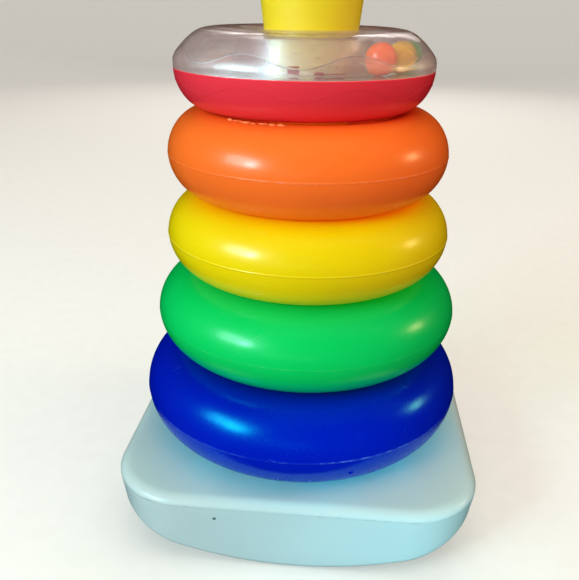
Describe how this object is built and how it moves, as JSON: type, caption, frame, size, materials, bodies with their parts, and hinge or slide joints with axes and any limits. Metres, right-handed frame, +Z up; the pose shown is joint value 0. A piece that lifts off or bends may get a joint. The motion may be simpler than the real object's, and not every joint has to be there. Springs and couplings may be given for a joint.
{
  "type": "stacking ring toy",
  "caption": "Stacking toy: hollow rings of graded size and a clear-topped rattle ring with beads, on a flared post that stands on a rocking base.",
  "frame": {"origin": "on the lowest line of the rocker, directly under the middle of the base", "axes": "+Z up along the post, -Y towards the front, +X to the right; the base rocks about Y"},
  "size_m": [0.14, 0.14, 0.218],
  "materials": {
    "white_plastic": "satin moulded polyethylene",
    "post_yellow": "semi-gloss moulded",
    "ring_blue": "semi-gloss blow moulded",
    "ring_green": "semi-gloss blow moulded",
    "ring_yellow": "semi-gloss blow moulded",
    "ring_orange": "semi-gloss blow moulded",
    "tray_red": "semi-gloss moulded",
    "silver_film": "silvery reflecting disc",
    "clear_plastic": "clear, lightly scuffed",
    "bead_orange": "gloss",
    "bead_amber": "gloss",
    "bead_green": "gloss"
  },
  "bodies": {
    "stand": {"rocker_base": "white_plastic", "centre_post": "post_yellow"},
    "blue_ring_body": {"blue_ring": "ring_blue"},
    "green_ring_body": {"green_ring": "ring_green"},
    "yellow_ring_body": {"yellow_ring": "ring_yellow"},
    "orange_ring_body": {"orange_ring": "ring_orange"},
    "rattle_ring": {"rattle_tray": "tray_red", "mirror_floor": "silver_film", "rattle_cover": "clear_plastic"},
    "green_bead_body": {"bead_green": "bead_green"},
    "amber_bead_body": {"bead_amber": "bead_amber"},
    "orange_bead_body": {"bead_orange": "bead_orange"}
  },
  "joints": [
    {"name": "blue_ring_lift", "type": "slide", "parent": "stand", "child": "blue_ring_body", "axis": [0, 0, 1], "range_m": [0, 0.195]},
    {"name": "green_ring_lift", "type": "slide", "parent": "blue_ring_body", "child": "green_ring_body", "axis": [0, 0, 1], "range_m": [0, 0.16]},
    {"name": "yellow_ring_lift", "type": "slide", "parent": "green_ring_body", "child": "yellow_ring_body", "axis": [0, 0, 1], "range_m": [0, 0.126]},
    {"name": "orange_ring_lift", "type": "slide", "parent": "yellow_ring_body", "child": "orange_ring_body", "axis": [0, 0, 1], "range_m": [0, 0.096]},
    {"name": "rattle_ring_lift", "type": "slide", "parent": "orange_ring_body", "child": "rattle_ring", "axis": [0, 0, 1], "range_m": [0, 0.065]},
    {"name": "green_bead_run", "type": "hinge", "parent": "rattle_ring", "child": "green_bead_body", "pos_m": [-0.003, -0.0012, 0.1796], "axis": [0, 0, 1], "continuous": true},
    {"name": "amber_bead_run", "type": "hinge", "parent": "green_bead_body", "child": "amber_bead_body", "pos_m": [-0.003, -0.0012, 0.1796], "axis": [0, 0, 1], "range_deg": [-150, 8]},
    {"name": "orange_bead_run", "type": "hinge", "parent": "amber_bead_body", "child": "orange_bead_body", "pos_m": [-0.003, -0.0012, 0.1796], "axis": [0, 0, 1], "range_deg": [-150, 3]}
  ]
}
